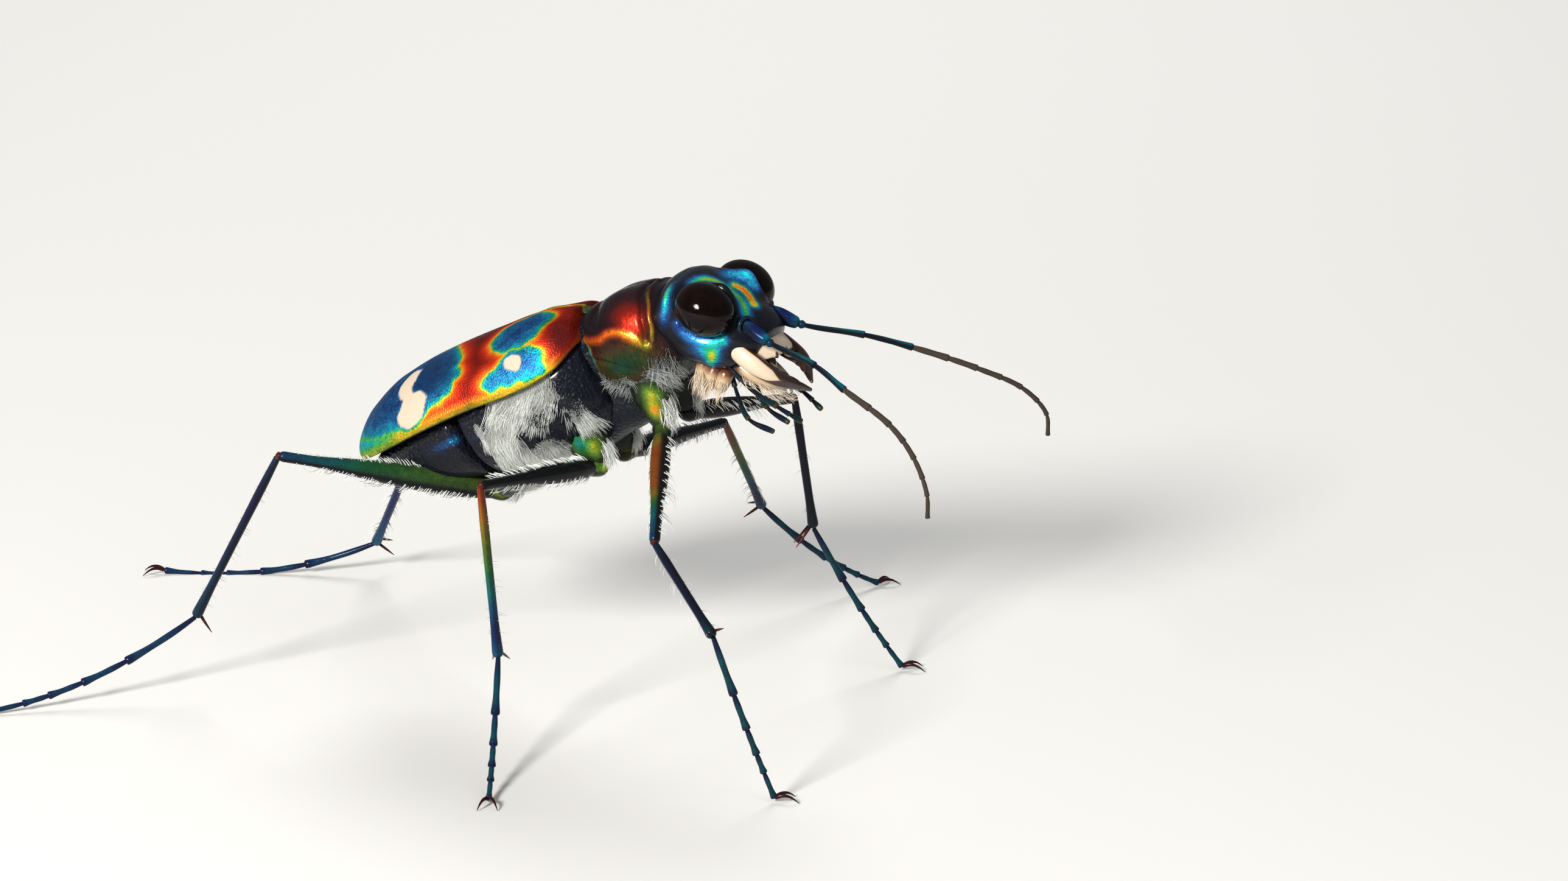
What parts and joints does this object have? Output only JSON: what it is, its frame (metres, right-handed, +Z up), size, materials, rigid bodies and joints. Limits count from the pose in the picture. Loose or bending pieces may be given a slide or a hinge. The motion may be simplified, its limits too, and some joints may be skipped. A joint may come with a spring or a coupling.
{
  "type": "tiger beetle",
  "caption": "Life-size tiger beetle standing on its feet, head raised, with domed banded wing cases, large eyes, crossed jaws and long feelers.",
  "frame": {"origin": "on the floor under the middle of the whole model, seen from above", "axes": "+X ahead, the way the beetle faces; +Y to its left; +Z up from the floor it stands on"},
  "size_m": [0.0374, 0.0284, 0.0164],
  "materials": {
    "wing_case": "metallic blue with red bands, gold and green edges and cream spots",
    "shell": "metallic green, gold, copper and blue, finely wrinkled",
    "belly": "glossy blue black with patches of white hair",
    "eye": "very glossy dark brown",
    "jaw": "cream with dark brown tips",
    "leg": "metallic green, copper and violet blue, with pale bristles",
    "feeler": "violet and teal at the base, dull brown grey at the end"
  },
  "bodies": {
    "root": {"abdomen": "belly", "antenna_left_base": "feeler", "antenna_left_tip": "feeler", "antenna_right_base": "feeler", "antenna_right_tip": "feeler", "coxa_front_left": "leg", "coxa_front_right": "leg", "coxa_hind_left": "leg", "coxa_hind_right": "leg", "coxa_middle_left": "leg", "coxa_middle_right": "leg", "elytron_left": "wing_case", "elytron_right": "wing_case", "eye_left": "eye", "eye_right": "eye", "femur_front_left": "leg", "femur_front_right": "leg", "femur_hind_left": "leg", "femur_hind_right": "leg", "femur_middle_left": "leg", "femur_middle_right": "leg", "head": "shell", "labial_palp_left": "feeler", "labial_palp_right": "feeler", "labrum": "jaw", "mandible_left": "jaw", "mandible_right": "jaw", "maxillary_palp_left": "feeler", "maxillary_palp_right": "feeler", "prothorax": "shell", "pterothorax": "belly", "tarsus_front_left": "leg", "tarsus_front_right": "leg", "tarsus_hind_left": "leg", "tarsus_hind_right": "leg", "tarsus_middle_left": "leg", "tarsus_middle_right": "leg", "tibia_front_left": "leg", "tibia_front_right": "leg", "tibia_hind_left": "leg", "tibia_hind_right": "leg", "tibia_middle_left": "leg", "tibia_middle_right": "leg"}
  },
  "joints": []
}
